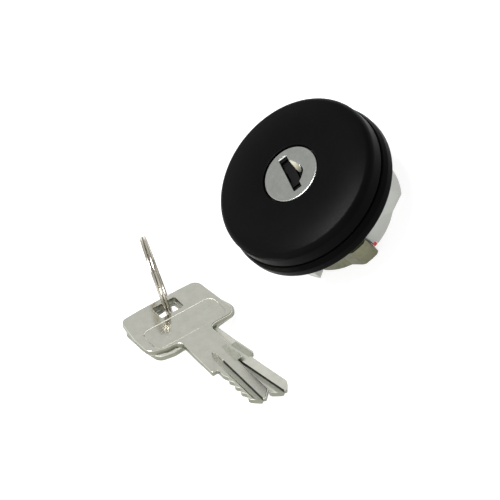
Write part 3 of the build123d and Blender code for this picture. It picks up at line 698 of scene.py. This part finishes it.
kt, kb = key_points(False), key_points(True)
for n in (1, 2):
    relief(f"key_blank_{n}", k_out, [k_win], kt, kb, lambda P: KEY_T - key_depth(P, False), lambda P: key_depth(P, True),
           key_place(n), M["nickel_key"] if n == 1 else M["nickel_key_b_painted_light_shade"], M["nickel_edge_and_painted_shade"], angle=35,
           paint=key_paint, extra=(M["nickel_mill"], M["nickel_groove_painted_shadow"], M["nickel_painted_highlight"]), body=f"key_{n}", replaces=(f"key_{n}",), slot="nickel_key")

# ------------------------------------------------------------------ split ring
R_RING, R_WIRE = 16.0, 0.6
hx = math.radians(-5.4)
lean = math.radians(21.15)
RH = Vector((math.cos(hx), math.sin(hx), 0))
RV = Vector((-math.sin(hx) * math.sin(lean), math.cos(hx) * math.sin(lean), math.cos(lean)))
RN = RH.cross(RV)
RC = Vector((-17.9516, -71.1693, -6.82768))


def split_ring():
    verts, faces = [], []
    seg, k = 440, 18
    total = 4 * math.pi - math.radians(36)
    start = math.radians(338)
    ring = []
    for i in range(k):
        t = 2 * math.pi * (i + 0.5) / k
        c, s = math.cos(t), math.sin(t)
        ring.append((math.copysign(abs(c) ** 0.62, c) * 0.6, math.copysign(abs(s) ** 0.62, s) * 0.575))
    for i in range(seg + 1):
        u = i / seg
        a = start + total * u
        mid_ = (u - 0.5) * total
        step = math.radians(15)
        o = -1 if mid_ < -step else (1 if mid_ > step else math.sin(mid_ / step * math.pi / 2))
        o *= R_WIRE + 0.005
        taper = min(1.0, 0.55 + min(u, 1 - u) * total / math.radians(8) * 0.45)
        for dr, dn in ring:
            r = R_RING + dr
            p = RC + RH * (r * math.cos(a)) + RV * (r * math.sin(a)) + RN * (o + dn * taper)
            verts.append(tuple(p))
    for i in range(seg):
        for j in range(k):
            q = (j + 1) % k
            faces.append((i * k + j, i * k + q, (i + 1) * k + q, (i + 1) * k + j))
    faces.append(tuple(range(k))[::-1])
    faces.append(tuple(seg * k + j for j in range(k)))
    ob = make("split_ring_wire", verts, faces, M["nickel_bright"], 50, body="ring", replaces=("split_ring",), slot="nickel_bright")
    # the flanks of the wire get a darker copy of the nickel than its crown: painted shade
    ob.data.materials.append(M["nickel_shade"])
    for p in ob.data.polygons:
        c = p.center / MM - RC
        flank = p.normal.dot(RN)
        if abs(flank) > 0.6:
            p.material_index = 1
    return ob


split_ring()

# ------------------------------------------------------------------ floor, camera, light
def plane(name, size, z):
    me = bpy.data.meshes.new(name)
    s = size / 2
    me.from_pydata([(-s, -s, z), (s, -s, z), (s, s, z), (-s, s, z)], [], [(0, 1, 2, 3)])
    ob = bpy.data.objects.new(name, me)
    bpy.context.scene.collection.objects.link(ob)
    return ob


floor = plane("floor", 12.0, (FLOOR - 0.02) * MM)
fm = Mat("floor_paper").set(Roughness=0.85, Specular_IOR_Level=0.2)
fm.color(fm.ramp(fm.noise(3, 2), [(0.3, (0.36, 0.36, 0.36)), (0.7, (0.38, 0.38, 0.38))]))
fm.b.inputs["Emission Color"].default_value = (1, 1, 1, 1)
fm.b.inputs["Emission Strength"].default_value = 0.78
floor.data.materials.append(fm.m)

ROT = math.radians(19.8)
EX = Vector((math.cos(ROT), math.sin(ROT), 0))       # level direction towards the camera
EY = Vector((-math.sin(ROT), math.cos(ROT), 0))
EZ = Vector((0, 0, 1))


def cam_vec(a, b, c):
    return EX * a + EY * b + EZ * c


F = cam_vec(0.6733, 0.0, 0.7394).normalized()
R = cam_vec(0.584, 0.6137, -0.5318).normalized()
U = F.cross(R).normalized()
R = U.cross(F).normalized()
SCALE = 2.73                      # px per mm at the lock face
DIST = 1.5
target = Vector((0, 0, Z_FACE)) * MM + (R * (250 - 290.43) + U * (173.63 - 250)) * (MM / SCALE)
cam = bpy.data.cameras.new("camera")
cam.sensor_width = 36.0
cam.lens = 36.0 * DIST / (500 / SCALE * MM)
cam.clip_start, cam.clip_end = 0.05, 20
camo = bpy.data.objects.new("camera", cam)
bpy.context.scene.collection.objects.link(camo)
camo.matrix_world = Matrix.Translation(target + F * DIST) @ Matrix((R, U, F)).transposed().to_4x4()
bpy.context.scene.camera = camo


def area(name, loc, aim, sx, sy, power, color=(1, 1, 1)):
    l = bpy.data.lights.new(name, "AREA")
    l.shape = "RECTANGLE"
    l.size, l.size_y = sx, sy
    l.energy = power
    l.color = color
    o = bpy.data.objects.new(name, l)
    o.location = loc
    d = (Vector(aim) - Vector(loc)).normalized()
    o.rotation_mode = "QUATERNION"
    o.rotation_quaternion = d.to_track_quat("-Z", "Y")
    bpy.context.scene.collection.objects.link(o)
    return o


mid = Vector((0, -0.03, 0))


def lamp_dir(deg, side=0.0):
    """Direction at an angle from straight up towards the viewer's side."""
    a = math.radians(deg)
    return (EZ * math.cos(a) + EX * math.sin(a) + EY * side).normalized()


area("soft_key", mid + lamp_dir(-1) * 0.9, mid, 0.55, 0.26, 13.5)
area("soft_left", mid + (EZ * 0.35 - EY * 0.8 + EX * 0.3) * 0.9, mid, 0.5, 0.5, 0.6)

w = bpy.data.worlds.new("world")
w.use_nodes = True
wt = w.node_tree


def world_ramp(sock, stops):
    r = wt.nodes.new("ShaderNodeValToRGB")
    r.color_ramp.interpolation = "EASE"
    el = r.color_ramp.elements
    while len(el) < len(stops):
        el.new(0.5)
    for e, (p, v) in zip(el, stops):
        e.position = p
        e.color = (v, v, v, 1)
    wt.links.new(sock, r.inputs[0])
    return r.outputs[0]


wc = wt.nodes.new("ShaderNodeTexCoord")
ws = wt.nodes.new("ShaderNodeSeparateXYZ")
wt.links.new(wc.outputs["Generated"], ws.inputs[0])
wd = wt.nodes.new("ShaderNodeVectorMath")
wd.operation = "DOT_PRODUCT"
wd.inputs[1].default_value = EY
wt.links.new(wc.outputs["Generated"], wd.inputs[0])
wm = wt.nodes.new("ShaderNodeMapRange")
for i, v in enumerate((-1.0, 1.0, 0.0, 1.0)):
    wm.inputs[i + 1].default_value = v
wt.links.new(wd.outputs["Value"], wm.inputs[0])
high = world_ramp(ws.outputs[2], [(0.0, 0.80), (0.25, 0.85), (0.66, 0.80), (0.80, 0.70), (0.93, 0.36), (1.0, 0.30)])
side = world_ramp(wm.outputs[0], [(0.0, 0.95), (0.2, 0.85), (0.45, 0.5), (0.85, 0.5), (0.94, 0.30), (1.0, 0.25)])
wx = wt.nodes.new("ShaderNodeMix")
wx.data_type = "RGBA"
wx.blend_type = "MULTIPLY"
wx.inputs[0].default_value = 1.0
wt.links.new(high, wx.inputs[6])
wt.links.new(side, wx.inputs[7])
wt.links.new(wx.outputs[2], wt.nodes["Background"].inputs[0])
wt.nodes["Background"].inputs[1].default_value = 2.0
bpy.context.scene.world = w
bpy.context.scene.view_settings.view_transform = "Standard"
bpy.context.scene.view_settings.look = "None"
